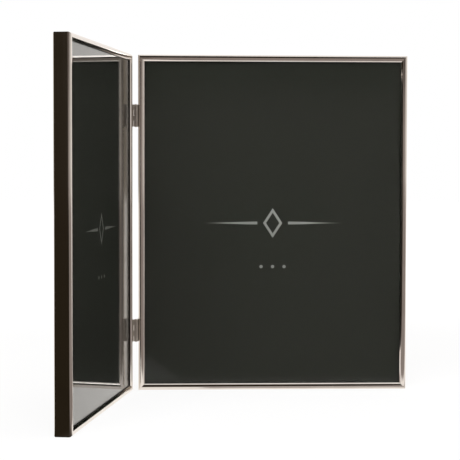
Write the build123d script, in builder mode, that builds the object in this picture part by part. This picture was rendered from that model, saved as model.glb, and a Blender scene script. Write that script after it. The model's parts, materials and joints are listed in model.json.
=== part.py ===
from build123d import *
from math import radians, sqrt, tan
import os

# Hinged double photo frame: two glazed metal leaves that stand half open on their lower rails.
# Each leaf is four mitred rails rolled from sheet around a pane, a print and a back panel.

# The print that each leaf holds
PRINT_WIDTH = 203.2
PRINT_HEIGHT = 254.0
PRINT_CARD = 0.3

# Angle between the fronts of the leaves at rest, in degrees: 0 is closed and 180 is flat
OPENING = 100.0
FLAT = 180.0

# Rail section: the bead's front slopes back, at an angle in degrees, to a shoulder that falls to the pane
SHEET = 0.8
BEAD_WIDTH = 5.0
BEAD_DEPTH = 2.0
BEAD_SLOPE = 6.0
BEAD_SHOULDER = 1.2
BEAD_OUTER_RADIUS = 2.2
BEAD_CROWN_RADIUS = 1.8
BEAD_EDGE_RADIUS = 0.3
LIP_REACH = 1.5
LIP_RADIUS = 1.2

# Corner angles inside the mitres
ANGLE_SHEET = 1.2
ANGLE_LEG = 14.0
ANGLE_SETBACK = 0.5

# Pane, backing board, back panel and its velvet cover
PANE_OVERSIZE = 0.3
PANE_LIP_CLEARANCE = 0.4
GLASS = 2.0
GLASS_ARRIS = 0.3
BOARD = 2.0
PANEL = 3.5
VELVET = 0.4

# Turn clips and the rivets that they swivel on
CLIP = 0.7
CLIP_WIDTH = 8.0
CLIP_INSET = 11.0
CLIP_HOLD = 1.2
CLIP_FROM_END = 62.0
CLIP_PLAY = 0.1
CLIP_LIP_GAP = 0.2
CLIP_RIB_WIDTH = 2.4
CLIP_RIB_HEIGHT = 0.4
CLIP_RIB_END_MARGIN = 1.6
CLIP_RIVET_RADIUS = 1.5
CLIP_RIVET_HEAD_RADIUS = 2.8
CLIP_RIVET_HEAD = 0.7
CLIP_RIVET_CLENCH_RADIUS = 2.4
CLIP_RIVET_CLENCH = 0.8
CLIP_RIVET_CLEARANCE = 0.05
CLENCH_CLEARANCE = 0.2

# Butt hinges on the facing side walls
HINGE_HEIGHT = 17.0
HINGE_FROM_END = 47.0
HINGE_KNUCKLES = 4
KNUCKLE_GAP = 0.15
HINGE_AXIS_FORWARD = 2.0
BARREL_RADIUS = 1.7
BARREL_CLEARANCE = 0.3
PLATE = 0.6
PLATE_BACK_SETBACK = 1.6
PIN_CLEARANCE = 0.05
PIN_PROJECTION = 0.3
PIN_ROUND = 0.25
HINGE_RIVET_RADIUS = 0.8
HINGE_RIVET_CLEARANCE = 0.05
HINGE_RIVET_HEAD_RADIUS = 1.5
HINGE_RIVET_HEAD = 0.4
HINGE_RIVET_ROUND = 0.3
HINGE_RIVET_CLENCH = 0.5
HINGE_RIVET_SPACING = 9.0

# Sizes of a leaf that follow from what it holds
PANE_WIDTH = PRINT_WIDTH + 2 * PANE_OVERSIZE
PANE_HEIGHT = PRINT_HEIGHT + 2 * PANE_OVERSIZE
LIP_WIDTH = SHEET + LIP_REACH
PANE_EDGE = LIP_WIDTH + PANE_LIP_CLEARANCE
LEAF_WIDTH = PANE_WIDTH + 2 * PANE_EDGE
LEAF_HEIGHT = PANE_HEIGHT + 2 * PANE_EDGE

# Where the bead's shoulder starts, and the depth of its slope there and, in front of the leaf, at the wall
SHOULDER_START = BEAD_WIDTH - BEAD_SHOULDER
SLOPE_OUTER = BEAD_OUTER_RADIUS * (1 - tan(radians(45 + BEAD_SLOPE / 2)))
SLOPE_INNER = SLOPE_OUTER + SHOULDER_START * tan(radians(BEAD_SLOPE))

# Depths behind the front of a leaf, layer by layer
CARD_FRONT = BEAD_DEPTH + GLASS
BOARD_FRONT = CARD_FRONT + PRINT_CARD
PANEL_FRONT = BOARD_FRONT + BOARD
VELVET_FRONT = PANEL_FRONT + PANEL
CLIP_FRONT = VELVET_FRONT + VELVET + CLIP_PLAY
CLIP_BACK = CLIP_FRONT + CLIP
LIP_FRONT = CLIP_BACK + CLIP_LIP_GAP
LEAF_DEPTH = LIP_FRONT + SHEET

# Turn clip and hinge sizes that follow from their neighbours
CLIP_REACH = CLIP_INSET + PANE_LIP_CLEARANCE + CLIP_HOLD
CLIP_PIVOT_X = PANE_WIDTH / 2 - CLIP_INSET
CLIP_RIB_START = CLIP_RIVET_HEAD_RADIUS + CLIP_RIB_WIDTH / 2 + CLIP_PLAY
CLIP_RIB_END = CLIP_INSET - CLIP_RIB_END_MARGIN
PIN_RADIUS = BARREL_RADIUS - PLATE - PIN_CLEARANCE
KNUCKLE_PITCH = HINGE_HEIGHT / HINGE_KNUCKLES
KNUCKLE_NOTCH = sqrt(BARREL_RADIUS**2 - (BARREL_RADIUS - PLATE) ** 2) + BARREL_CLEARANCE
PLATE_END = HINGE_AXIS_FORWARD + LEAF_DEPTH - PLATE_BACK_SETBACK
PLATE_SEAT_START = HINGE_AXIS_FORWARD + BEAD_OUTER_RADIUS
HINGE_RIVET_DEPTH = (PLATE_SEAT_START + PLATE_END) / 2 - HINGE_AXIS_FORWARD

# The origin is the middle of the right leaf's standing face, and the hinge axis is upright
HINGE_AXIS_X = -LEAF_WIDTH / 2 - BARREL_RADIUS
HINGE_AXIS_Y = -LEAF_DEPTH / 2 - HINGE_AXIS_FORWARD

UP = Vector(0, 0, 1)
HINGE_FOOT = Vector(HINGE_AXIS_X, HINGE_AXIS_Y, 0)


class Leaf:
    """One leaf: its name, its frame (x across, y back, z up) and the side of x that its hinges are on."""

    def __init__(self, name, frame, hinge_side):
        self.name = name
        self.frame = frame
        self.hinge_side = hinge_side
        self.across = frame.x_dir
        self.back = frame.y_dir

    def point(self, x, depth, z):
        """A point of the leaf, with its depth counted from the front of the rails."""
        return self.frame.from_local_coords(Vector(x, depth - LEAF_DEPTH / 2, z))

    def face(self, depth, x=0.0, z=LEAF_HEIGHT / 2, turned=1):
        """A plane that looks forward at a depth of the leaf. Extruding by a minus amount goes back."""
        return Plane(self.point(x, depth, z), x_dir=self.across * turned, z_dir=-self.back)

    def axis_level(self, z):
        """A level plane whose origin is on the hinge axis, with x across and y back."""
        return Plane(HINGE_FOOT + UP * z, x_dir=self.across, z_dir=UP)

    def hinge_wall(self, depth, z):
        """A plane on the outside of the wall that carries the hinges, looking out of the leaf."""
        origin = self.point(self.hinge_side * LEAF_WIDTH / 2, depth, z)
        return Plane(origin, x_dir=self.back, z_dir=self.across * self.hinge_side)


LEFT_TURN = FLAT - OPENING
LEFT_FOOT = Vector(-BARREL_RADIUS - LEAF_WIDTH / 2, -HINGE_AXIS_Y, 0).rotate(Axis.Z, LEFT_TURN)
LEFT_FRAME = Plane(HINGE_FOOT + LEFT_FOOT, x_dir=Vector(1, 0, 0).rotate(Axis.Z, LEFT_TURN), z_dir=UP)
RIGHT_LEAF = Leaf("right", Plane.XY, -1)
LEFT_LEAF = Leaf("left", LEFT_FRAME, 1)
LEAVES = [RIGHT_LEAF, LEFT_LEAF]

HINGES = {"upper": LEAF_HEIGHT - HINGE_FROM_END, "lower": HINGE_FROM_END}
CLIP_HEIGHTS = {"upper": LEAF_HEIGHT - CLIP_FROM_END, "lower": CLIP_FROM_END}
HINGE_RIVET_HEIGHTS = [
    middle + end * HINGE_RIVET_SPACING / 2 for middle in HINGES.values() for end in (1, -1)
]


def save(piece, name):
    """Labels a finished sub-part and writes it as a STEP file."""
    piece.part.label = name
    export_step(piece.part, f"parts/{name}.step")


def rail(middle, inward, back, length, hole_planes=()):
    """One rail: a rolled section along its outer front edge, mitred at both ends."""
    along = inward.cross(back)
    with BuildPart() as bar:
        with BuildSketch(Plane(middle, x_dir=inward, z_dir=along)):
            with BuildLine():
                outside = FilletPolyline(
                    (LIP_WIDTH, LEAF_DEPTH),
                    (0, LEAF_DEPTH),
                    (0, SLOPE_OUTER),
                    (SHOULDER_START, SLOPE_INNER),
                    (BEAD_WIDTH, SLOPE_INNER + BEAD_SHOULDER),
                    (BEAD_WIDTH, BEAD_DEPTH),
                    radius=[LIP_RADIUS, BEAD_OUTER_RADIUS, BEAD_CROWN_RADIUS, BEAD_EDGE_RADIUS],
                )
                offset(outside, amount=SHEET, side=Side.LEFT)
            make_face()
        extrude(amount=length / 2, both=True)
        for end in (1, -1):
            corner = middle + along * (end * length / 2)
            split(bisect_by=Plane(corner, z_dir=along * end + inward), keep=Keep.BOTTOM)
        if hole_planes:
            with Locations(*hole_planes):
                Hole(HINGE_RIVET_RADIUS + HINGE_RIVET_CLEARANCE, depth=SHEET)
    return bar


def corner_angles(leaf):
    """Four bent strips that lie along the insides of the side walls at the mitres."""
    inner_width = LEAF_WIDTH - 2 * SHEET
    inner_height = LEAF_HEIGHT - 2 * SHEET
    front = BEAD_OUTER_RADIUS + ANGLE_SETBACK
    with BuildPart() as angles:
        with BuildSketch(leaf.face(front)):
            Rectangle(inner_width, inner_height)
            Rectangle(inner_width - 2 * ANGLE_SHEET, inner_height - 2 * ANGLE_SHEET, mode=Mode.SUBTRACT)
            Rectangle(inner_width - 2 * ANGLE_LEG, inner_height, mode=Mode.SUBTRACT)
            Rectangle(inner_width, inner_height - 2 * ANGLE_LEG, mode=Mode.SUBTRACT)
        extrude(amount=front + ANGLE_SETBACK - LIP_FRONT)
    return angles


def sheet(leaf, front, thickness, width, height):
    """A flat layer of the leaf, centred on it."""
    with BuildPart() as layer:
        with BuildSketch(leaf.face(front)):
            Rectangle(width, height)
        extrude(amount=-thickness)
    return layer


def glass(leaf):
    """The pane, with its edges blunted all round."""
    with BuildPart() as pane:
        with BuildSketch(leaf.face(BEAD_DEPTH)):
            Rectangle(PANE_WIDTH, PANE_HEIGHT)
        extrude(amount=-GLASS)
        chamfer(pane.edges().filter_by(Axis(leaf.point(0, 0, 0), leaf.back), reverse=True), GLASS_ARRIS)
    return pane


def clip_points(leaf, depth):
    """Planes on the four clip pivots at a depth, named, with x pointing out to the nearest rail."""
    planes = {}
    for side_name, side in (("hinge", leaf.hinge_side), ("outer", -leaf.hinge_side)):
        for level, z in CLIP_HEIGHTS.items():
            planes[f"{side_name}_{level}"] = leaf.face(depth, side * CLIP_PIVOT_X, z, side)
    return planes


def back_panel(leaf):
    """The stiff panel that closes the back, with counterbored holes for the clip rivets."""
    with BuildPart() as panel:
        with BuildSketch(leaf.face(PANEL_FRONT)):
            Rectangle(PANE_WIDTH, PANE_HEIGHT)
        extrude(amount=-PANEL)
        with Locations(*clip_points(leaf, PANEL_FRONT).values()):
            CounterBoreHole(
                radius=CLIP_RIVET_RADIUS + CLIP_RIVET_CLEARANCE,
                counter_bore_radius=CLIP_RIVET_CLENCH_RADIUS + CLENCH_CLEARANCE,
                counter_bore_depth=CLIP_RIVET_CLENCH + CLENCH_CLEARANCE,
                depth=PANEL,
            )
    return panel


def velvet_cover(leaf):
    """The pile cloth glued over the back of the panel, pierced for the rivets."""
    with BuildPart() as cover:
        with BuildSketch(leaf.face(VELVET_FRONT)):
            Rectangle(PANE_WIDTH, PANE_HEIGHT)
        extrude(amount=-VELVET)
        with Locations(*clip_points(leaf, VELVET_FRONT).values()):
            Hole(CLIP_RIVET_RADIUS + CLIP_RIVET_CLEARANCE, depth=VELVET)
    return cover


def clip_rivets(leaf):
    """The four rivets that hold the turn clips to the panel."""
    clench_front = PANEL_FRONT + CLENCH_CLEARANCE
    shank_front = clench_front + CLIP_RIVET_CLENCH
    head_front = CLIP_BACK + CLIP_PLAY
    with BuildPart() as rivets:
        for plane in clip_points(leaf, clench_front).values():
            with BuildSketch(plane):
                Circle(CLIP_RIVET_CLENCH_RADIUS)
            extrude(amount=-CLIP_RIVET_CLENCH)
        for plane in clip_points(leaf, shank_front).values():
            with BuildSketch(plane):
                Circle(CLIP_RIVET_RADIUS)
            extrude(amount=shank_front - head_front)
        for plane in clip_points(leaf, head_front).values():
            with BuildSketch(plane):
                Circle(CLIP_RIVET_HEAD_RADIUS)
            extrude(amount=-CLIP_RIVET_HEAD)
    return rivets


def turn_clip(plane):
    """A flat swivel clip with a round tip that passes under the rail's lip, and a pressed rib to push."""
    with BuildPart() as clip:
        with BuildSketch(plane):
            Circle(CLIP_REACH)
            with Locations((CLIP_REACH / 2, 0)):
                Rectangle(CLIP_REACH, CLIP_WIDTH, mode=Mode.INTERSECT)
            Circle(CLIP_WIDTH / 2)
            Circle(CLIP_RIVET_RADIUS + CLIP_RIVET_CLEARANCE, mode=Mode.SUBTRACT)
        extrude(amount=-CLIP)
        with BuildSketch(plane.offset(-CLIP)):
            with Locations(((CLIP_RIB_START + CLIP_RIB_END) / 2, 0)):
                SlotCenterToCenter(CLIP_RIB_END - CLIP_RIB_START, CLIP_RIB_WIDTH)
        extrude(amount=-CLIP_RIB_HEIGHT)
    return clip


def hinge_plate(leaf, middle, first_knuckle):
    """A hinge plate on the leaf's side wall, with every second knuckle counted from the top one."""
    inward = -leaf.hinge_side
    bottom = middle - HINGE_HEIGHT / 2
    top = middle + HINGE_HEIGHT / 2
    across = inward * (BARREL_RADIUS - PLATE / 2)
    with BuildPart() as plate:
        with BuildSketch(leaf.axis_level(bottom)):
            with Locations((across, (KNUCKLE_NOTCH + PLATE_END) / 2)):
                Rectangle(PLATE, PLATE_END - KNUCKLE_NOTCH)
        extrude(amount=HINGE_HEIGHT)
        for number in range(first_knuckle, HINGE_KNUCKLES, 2):
            with BuildSketch(leaf.axis_level(top - (number + 1) * KNUCKLE_PITCH + KNUCKLE_GAP / 2)):
                Circle(BARREL_RADIUS)
                with Locations((across, KNUCKLE_NOTCH / 2)):
                    Rectangle(PLATE, KNUCKLE_NOTCH)
            extrude(amount=KNUCKLE_PITCH - KNUCKLE_GAP)
        with BuildSketch(leaf.axis_level(bottom)):
            Circle(BARREL_RADIUS - PLATE)
        extrude(amount=HINGE_HEIGHT, mode=Mode.SUBTRACT)
        for end in (1, -1):
            wall = leaf.hinge_wall(HINGE_RIVET_DEPTH, middle + end * HINGE_RIVET_SPACING / 2)
            with Locations(wall.offset(PLATE)):
                Hole(HINGE_RIVET_RADIUS + HINGE_RIVET_CLEARANCE, depth=PLATE)
    return plate


def hinge_pin(middle):
    """The pin of one hinge, with rounded ends that stand just proud of the barrel."""
    length = HINGE_HEIGHT + 2 * PIN_PROJECTION
    with BuildPart() as pin:
        with BuildSketch(RIGHT_LEAF.axis_level(middle - length / 2)):
            Circle(PIN_RADIUS)
        extrude(amount=length)
        fillet(pin.edges().filter_by(GeomType.CIRCLE), PIN_ROUND)
    return pin


def hinge_rivets(leaf):
    """The rivets that hold the hinge plates of one leaf to its side wall."""
    with BuildPart() as rivets:
        for z in HINGE_RIVET_HEIGHTS:
            wall = leaf.hinge_wall(HINGE_RIVET_DEPTH, z)
            with BuildSketch(wall.offset(PLATE)):
                Circle(HINGE_RIVET_HEAD_RADIUS)
            extrude(amount=HINGE_RIVET_HEAD)
            with BuildSketch(wall.offset(PLATE)):
                Circle(HINGE_RIVET_RADIUS)
            extrude(amount=-(PLATE + SHEET))
            with BuildSketch(wall.offset(-SHEET)):
                Circle(HINGE_RIVET_HEAD_RADIUS)
            extrude(amount=-HINGE_RIVET_CLENCH)
        outside = Axis(leaf.point(0, 0, 0), leaf.across * leaf.hinge_side)
        heads = rivets.edges().filter_by(GeomType.CIRCLE).group_by(outside)[-1]
        fillet(heads, HINGE_RIVET_ROUND)
    return rivets


def leaf_rails(leaf):
    """The four rails of a leaf by name."""
    mid_height = LEAF_HEIGHT / 2
    hinge_x = leaf.hinge_side * LEAF_WIDTH / 2
    to_outer = leaf.across * -leaf.hinge_side
    hinge_holes = [leaf.hinge_wall(HINGE_RIVET_DEPTH, z) for z in HINGE_RIVET_HEIGHTS]
    return {
        "top_rail": rail(leaf.point(0, 0, LEAF_HEIGHT), -UP, leaf.back, LEAF_WIDTH),
        "bottom_rail": rail(leaf.point(0, 0, 0), UP, leaf.back, LEAF_WIDTH),
        "hinge_rail": rail(leaf.point(hinge_x, 0, mid_height), to_outer, leaf.back, LEAF_HEIGHT, hinge_holes),
        "outer_rail": rail(leaf.point(-hinge_x, 0, mid_height), -to_outer, leaf.back, LEAF_HEIGHT),
    }


os.makedirs("parts", exist_ok=True)

for leaf in LEAVES:
    for rail_name, bar in leaf_rails(leaf).items():
        save(bar, f"{leaf.name}_{rail_name}")
    save(corner_angles(leaf), f"{leaf.name}_corner_angles")
    save(glass(leaf), f"{leaf.name}_glass")
    save(sheet(leaf, CARD_FRONT, PRINT_CARD, PRINT_WIDTH, PRINT_HEIGHT), f"{leaf.name}_print_card")
    save(sheet(leaf, BOARD_FRONT, BOARD, PANE_WIDTH, PANE_HEIGHT), f"{leaf.name}_backing_board")
    save(back_panel(leaf), f"{leaf.name}_back_panel")
    save(velvet_cover(leaf), f"{leaf.name}_velvet_cover")
    save(clip_rivets(leaf), f"{leaf.name}_clip_rivets")
    for place, plane in clip_points(leaf, CLIP_FRONT).items():
        save(turn_clip(plane), f"{leaf.name}_turn_clip_{place}")
    save(hinge_rivets(leaf), f"{leaf.name}_hinge_rivets")

for level, middle in HINGES.items():
    save(hinge_plate(LEFT_LEAF, middle, 0), f"{level}_hinge_swing_plate")
    save(hinge_plate(RIGHT_LEAF, middle, 1), f"{level}_hinge_fixed_plate")
    save(hinge_pin(middle), f"{level}_hinge_pin")
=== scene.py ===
"""Looks of a hinged double photo frame: metal rails, panes, prints, hinges, clips and velvet backs."""

import json
import math

import bmesh
import bpy
from bmesh.types import BMEdge, BMFace, BMVert
from mathutils import Matrix, Vector


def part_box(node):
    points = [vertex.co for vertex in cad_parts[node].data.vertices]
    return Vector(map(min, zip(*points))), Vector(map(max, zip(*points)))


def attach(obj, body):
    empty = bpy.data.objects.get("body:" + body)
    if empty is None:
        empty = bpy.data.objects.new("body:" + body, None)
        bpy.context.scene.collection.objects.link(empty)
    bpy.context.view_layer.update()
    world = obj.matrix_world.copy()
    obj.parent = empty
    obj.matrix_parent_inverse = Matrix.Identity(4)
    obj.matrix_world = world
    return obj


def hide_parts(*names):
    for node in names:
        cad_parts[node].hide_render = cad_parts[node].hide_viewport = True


bl_info = {
    "name": "Hinged Double Photo Frame",
    "version": (1, 0, 0),
    "blender": (4, 5, 0),
    "location": "View3D > Sidebar > Photo Frame",
    "description": "Dresses a hinged double photo frame and sets its stage",
    "category": "Object",
}

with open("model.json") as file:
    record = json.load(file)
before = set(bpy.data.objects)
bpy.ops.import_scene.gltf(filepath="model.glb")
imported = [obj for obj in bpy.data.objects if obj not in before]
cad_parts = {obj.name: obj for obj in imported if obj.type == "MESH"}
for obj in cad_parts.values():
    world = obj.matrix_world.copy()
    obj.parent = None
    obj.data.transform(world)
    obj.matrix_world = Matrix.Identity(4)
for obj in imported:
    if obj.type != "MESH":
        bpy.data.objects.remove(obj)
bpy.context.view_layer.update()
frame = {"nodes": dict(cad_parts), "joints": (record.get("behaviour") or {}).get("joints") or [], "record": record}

# Meshes are shaped in millimetres, which suit the mesh operators' tolerances, and scaled down at the end
MM = 0.001
JOINTS = {joint["name"]: joint for joint in frame["joints"]}
MOUNTS = {mount["name"]: mount for mount in frame["record"]["mounts"]}
UP = Vector((0, 0, 1))
DEPTH = Vector((0, 1, 0))


def frame_box(node):
    """A node's lowest and highest corners in millimetres."""
    low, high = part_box(node)
    return low / MM, high / MM


# Sizes of a leaf, from the right one, which stands square to the axes
TOP_RAIL_LOW, TOP_RAIL_HIGH = frame_box("right_top_rail")
LEAF_WIDTH = TOP_RAIL_HIGH.x - TOP_RAIL_LOW.x
LEAF_DEPTH = TOP_RAIL_HIGH.y - TOP_RAIL_LOW.y
LEAF_HEIGHT = TOP_RAIL_HIGH.z
BEAD_WIDTH = TOP_RAIL_HIGH.z - TOP_RAIL_LOW.z
LEAF_FRONT = Vector((0, TOP_RAIL_LOW.y, 0))


def layer_box(node):
    """The box of a layer of the right leaf, with its depth counted from the leaf's front."""
    low, high = frame_box("right_" + node)
    return low - LEAF_FRONT, high - LEAF_FRONT


GLASS_LOW, GLASS_HIGH = layer_box("glass")
VELVET_LOW, VELVET_HIGH = layer_box("velvet_cover")
CLIP_LOW, CLIP_HIGH = layer_box("turn_clip_outer_upper")
CLIP_RIVETS_LOW, CLIP_RIVETS_HIGH = layer_box("clip_rivets")
HINGE_RIVETS_LOW, HINGE_RIVETS_HIGH = layer_box("hinge_rivets")

# Sizes of a hinge, about its axis
HINGE_AXIS = Vector(JOINTS["leaf_fold"]["pos_m"]) / MM
HINGE_LOW, HINGE_HIGH = frame_box("upper_hinge_fixed_plate")
PIN_LOW, PIN_HIGH = frame_box("upper_hinge_pin")
HINGE_HEIGHT = HINGE_HIGH.z - HINGE_LOW.z
BARREL_RADIUS = (HINGE_HIGH.x - HINGE_LOW.x) / 2
PLATE_END = HINGE_HIGH.y - HINGE_AXIS.y
PIN_RADIUS = (PIN_HIGH.x - PIN_LOW.x) / 2


class Leaf:
    """One leaf: its place takes millimetres across, back from its front and up to metres of the frame."""

    def __init__(self, name, hinge_side):
        back = JOINTS[f"{name}_clip_outer_upper_turn"]["axis"]
        self.name = name
        self.body = f"{name}_leaf"
        self.hinge_side = hinge_side
        self.turn = math.atan2(-back[0], back[1])
        self.foot = Vector(MOUNTS[f"{name}_base"]["pos_m"])
        turned = Matrix.Rotation(self.turn, 4, "Z") @ Matrix.Scale(MM, 4)
        self.place = Matrix.Translation(self.foot) @ turned @ Matrix.Translation(LEAF_FRONT)
        self.at_axis = Matrix.Translation(HINGE_AXIS * MM) @ turned @ Matrix.Translation(-HINGE_AXIS.z * UP)

    def local(self, point):
        """A point of the frame, in metres, as millimetres of the leaf."""
        return self.place.inverted() @ Vector(point)


LEAVES = [Leaf("right", -1), Leaf("left", 1)]
SIDES = ("hinge", "outer")
LEVELS = ("upper", "lower")


def length(name, description, millimetres):
    """A property for a size."""
    return bpy.props.FloatProperty(
        name=name, description=description, default=millimetres * MM, min=0.0, precision=5,
        subtype="DISTANCE", unit="LENGTH",
    )


def angle(name, description, degrees):
    """A property for an angle."""
    return bpy.props.FloatProperty(
        name=name, description=description, default=math.radians(degrees),
        subtype="ANGLE", unit="ROTATION",
    )


def power(name, description, watts):
    """A property for a lamp's power."""
    return bpy.props.FloatProperty(
        name=name, description=description, default=watts, min=0.0, unit="POWER",
    )


def position(name, description, *metres):
    """A property for a place."""
    return bpy.props.FloatVectorProperty(
        name=name, description=description, default=metres, size=3, subtype="TRANSLATION", unit="LENGTH",
    )


def colour(name, description, *shade):
    """A property for a colour."""
    return bpy.props.FloatVectorProperty(
        name=name, description=description, default=shade, size=3, min=0.0, max=1.0, subtype="COLOR",
    )


class PHOTOFRAME_PG_sizes(bpy.types.PropertyGroup):
    """Sizes of the dressed pieces that the frame doesn't give."""

    sheet: length("Rail sheet", "Thickness of the sheet that the rails are rolled from", 0.8)
    bead_slope: angle("Bead slope", "Slope of the bead's front towards the pane", 6.0)
    bead_shoulder: length("Bead shoulder", "Width of the bead's inner part, which falls to the pane", 1.2)
    bead_crown: length("Bead crown", "Radius between the bead's front and its shoulder", 1.8)
    bead_outer: length("Bead outer radius", "Radius between the bead's front and the side wall", 2.2)
    bead_edge: length("Bead edge", "Radius of the edge beside the pane", 0.3)
    lip: length("Back lip", "How far the back lip reaches in from the side wall's outside", 2.3)
    lip_radius: length("Back lip radius", "Radius between the side wall and the back lip", 1.2)
    mitre_groove: length("Mitre groove", "Width of the chamfer on each side of a mitre", 0.07)
    pane_play: length("Pane play", "Air left in front of and behind the pane", 0.03)
    pane_arris: length("Pane arris", "Rounding of the pane's cut edges", 0.3)
    plate: length("Hinge plate", "Thickness of the hinge plates", 0.6)
    knuckle_gap: length("Knuckle gap", "Gap between two knuckles of a hinge", 0.15)
    knuckle_clearance: length("Knuckle clearance", "Gap from a barrel to the other plate's edge", 0.3)
    plate_arris: length("Hinge arris", "Rounding of the hinge plates' edges", 0.09)
    pin_round: length("Pin rounding", "Rounding of the hinge pins' ends", 0.25)
    hinge_rivet_spacing: length("Hinge rivet spacing", "Distance between a hinge plate's two rivets", 9.0)
    hinge_rivet_head: length("Hinge rivet head", "Height of the hinge rivets' heads", 0.4)
    hinge_rivet_shank: length("Hinge rivet shank", "Radius of the hinge rivets' shanks", 0.8)
    hinge_rivet_clench: length("Hinge rivet clench", "Height of the hinge rivets' inner ends", 0.5)
    clip: length("Clip", "Thickness of the turn clips", 0.7)
    clip_rib: length("Clip rib", "Width of the rib pressed into each clip", 2.4)
    clip_rib_margin: length("Clip rib margin", "Distance from the rib's end to the clip's tip", 3.2)
    clip_hole: length("Clip hole", "Radius of the rivet hole in each clip", 1.55)
    clip_arris: length("Clip arris", "Rounding of the clips' edges", 0.12)
    clip_rivet_head: length("Clip rivet head", "Radius of the clip rivets' heads", 2.8)
    clip_rivet_height: length("Clip rivet height", "Height of the clip rivets' heads", 0.7)
    clip_rivet_shank: length("Clip rivet shank", "Radius of the clip rivets' shanks", 1.5)
    clip_rivet_dimple: length("Clip rivet dimple", "Depth of the dimple in each clip rivet's head", 0.3)
    clip_rivet_clench: length("Clip rivet clench", "Height of the clip rivets' inner ends", 0.8)
    velvet_edge: length("Velvet edge", "Rounding of the velvet at its edge", 0.15)
    knuckles: bpy.props.IntProperty(
        name="Knuckles", description="Number of knuckles on a hinge", default=4, min=2,
    )
    roll: angle("Knuckle roll", "How far a knuckle is rolled round its pin", 305.0)


class PHOTOFRAME_PG_finishes(bpy.types.PropertyGroup):
    """Colours of the finishes."""

    plate_bright: colour("Plate", "Polished plate on the rails", 0.80, 0.755, 0.715)
    plate_dull: colour("Dull plate", "The same plate where it has dulled", 0.70, 0.65, 0.60)
    # Painted shade: a dark line painted where the rails meet the pane
    plate_edge_shade: colour("Edge shade", "Dark line on the rails' cut edge beside the pane", 0.03, 0.027, 0.022)
    hinge_bright: colour("Hinge", "Satin plate on the hinges", 0.60, 0.55, 0.50)
    hinge_dull: colour("Dull hinge", "Satin plate in the hinges' creases", 0.42, 0.37, 0.32)
    clip_bright: colour("Clip", "Zinc plate on the clips and rivets", 0.66, 0.65, 0.63)
    clip_dull: colour("Dull clip", "Zinc plate where it has dulled", 0.52, 0.51, 0.48)
    steel_bright: colour("Bare steel", "Corner angles inside the mitres", 0.52, 0.51, 0.50)
    steel_dull: colour("Dull steel", "Corner angles where oil has stained them", 0.36, 0.34, 0.32)
    glass: colour("Glass", "Tint of the panes", 0.97, 0.99, 0.98)
    card: colour("Card", "Black of the print cards", 0.0255, 0.0265, 0.022)
    ornament: colour("Ornament", "Grey of the ornament printed on the cards", 0.31, 0.31, 0.29)
    board: colour("Board", "Grey pulp of the backing boards", 0.36, 0.34, 0.30)
    board_fleck: colour("Board fleck", "Flecks in the pulp", 0.20, 0.19, 0.17)
    fibre: colour("Fibreboard", "Pressed fibre of the back panels", 0.34, 0.23, 0.14)
    fibre_dark: colour("Dark fibre", "Dark fibres in the panels", 0.20, 0.13, 0.08)
    velvet: colour("Velvet", "Pile seen straight on", 0.006, 0.006, 0.007)
    velvet_nap: colour("Velvet nap", "Pile where it is brushed over", 0.020, 0.020, 0.022)


class PHOTOFRAME_PG_stage(bpy.types.PropertyGroup):
    """Camera, floor and studio."""

    camera_place: position("Camera place", "Where the camera stands", -0.09173, -1.22245, 0.17623)
    camera_turn: angle("Camera turn", "Turn of the camera from straight ahead, to the left", -2.742)
    camera_tilt: angle("Camera tilt", "Tilt of the camera above level", -2.423)
    camera_roll: angle("Camera roll", "Roll of the camera about its line of sight", 0.103)
    camera_lens: bpy.props.FloatProperty(
        name="Lens", description="Focal length of the camera in millimetres", default=122.92, unit="CAMERA",
    )
    lamp_place: position("Lamp place", "Where the soft front lamp hangs", -0.5, -2.4, 1.7)
    lamp_side: length("Lamp", "Side of the soft front lamp", 2400.0)
    lamp_power: power("Lamp power", "Power of the soft front lamp", 91.0)
    top_lamp_place: position("Top lamps", "Middle of the two overhead lamps", 1.9, -0.34, 2.6)
    top_lamp_width: length("Top lamp width", "Width of each overhead lamp", 2300.0)
    top_lamp_depth: length("Top lamp depth", "Depth of each overhead lamp", 1900.0)
    top_lamp_gap: length("Top lamp gap", "Gap between the overhead lamps", 400.0)
    top_lamp_power: power("Top lamp power", "Power of each overhead lamp", 44.0)
    floor_size: length("Floor", "Half the side of the floor", 6000.0)
    shadow_start: length("Shadow", "How far from the middle shadows start to fade on the floor", 350.0)
    shadow_end: length("Shadow end", "How far from the middle no shadow falls on the floor", 900.0)
    # Painted reflection: only metal and glass see the floor darken, painted with the room's tones
    floor_near: length("White floor", "How far before the right leaf the floor starts to darken", 40.0)
    floor_far: length("Dark floor", "How far before the right leaf the floor is dark", 90.0)
    strip_near: length("White strip", "How far before the left leaf the floor starts to darken", 45.0)
    strip_far: length("Dark strip", "How far before the left leaf the floor is dark", 60.0)
    strip_fade: length("Strip fade", "How far from the left leaf's end the white strip is whole", 10.0)
    studio_back: colour("Studio back", "Backdrop, as metal and glass see it", 1.0, 0.96, 0.92)
    studio_left: colour("Studio left", "Unlit left end of the backdrop", 0.36, 0.32, 0.27)
    studio_right: colour("Studio right", "Lit wall to the right", 0.62, 0.58, 0.54)
    studio_front: colour("Studio front", "Room behind the camera", 0.28, 0.24, 0.22)
    studio_dark: colour("Studio dark", "Unlit corner and ceiling of the room", 0.021, 0.0155, 0.009)
    studio_top: colour("Studio top", "Soft light overhead", 0.95, 0.93, 0.91)


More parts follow.
